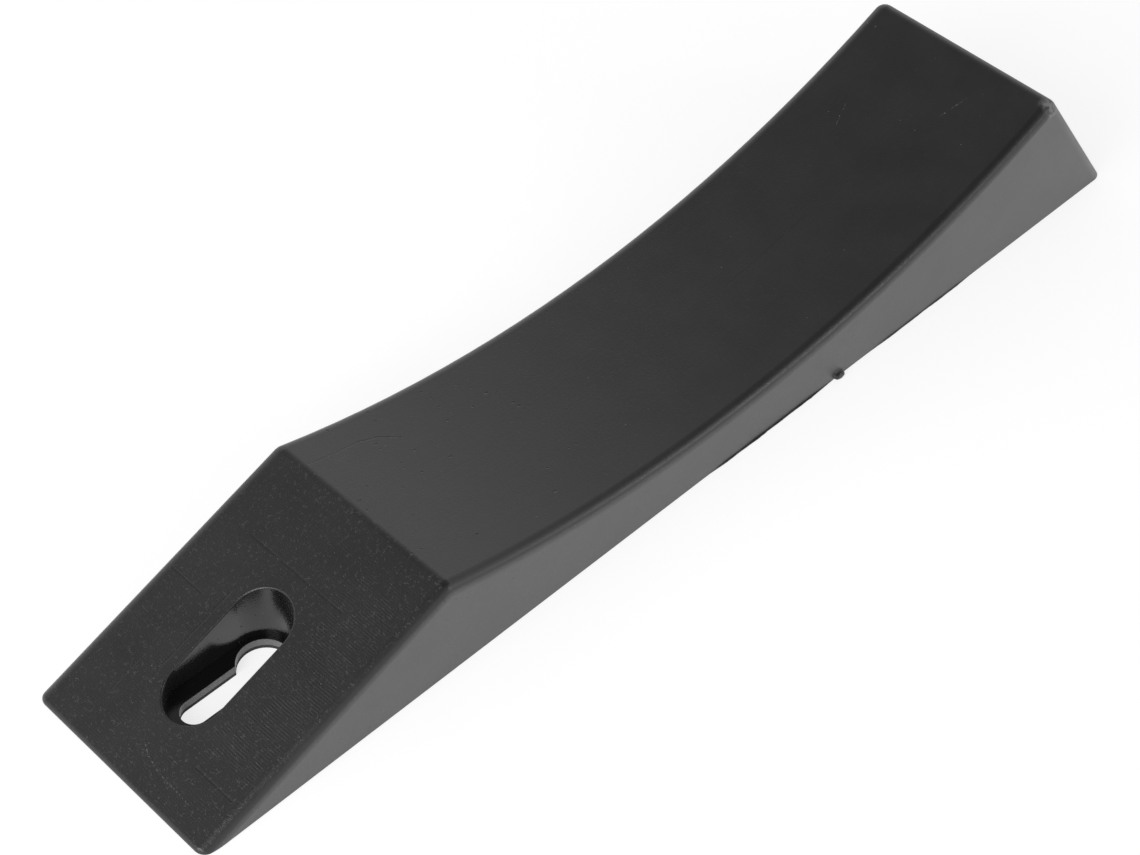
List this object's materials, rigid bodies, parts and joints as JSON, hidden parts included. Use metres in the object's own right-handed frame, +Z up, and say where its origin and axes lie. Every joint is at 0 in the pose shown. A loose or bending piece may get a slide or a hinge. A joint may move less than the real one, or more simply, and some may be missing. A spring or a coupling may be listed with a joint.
{
  "type": "door wedge",
  "caption": "Long door wedge with a sloped nose, a hollowed top, a raised thick end and a keyhole pocket for hanging or screwing down, on a thin grip sole.",
  "frame": {"origin": "centre of the floor face, at mid-length and mid-width", "axes": "+Z up, +Y along the length from the thin end to the thick end, +X across the width"},
  "size_m": [0.04, 0.2126, 0.0295],
  "materials": {
    "moulding": "black moulded plastic, satin, with faint tool marks",
    "sole": "dull black sheet rubber"
  },
  "bodies": {
    "root": {"wedge_body": "moulding", "grip_sole": "sole"}
  },
  "joints": []
}
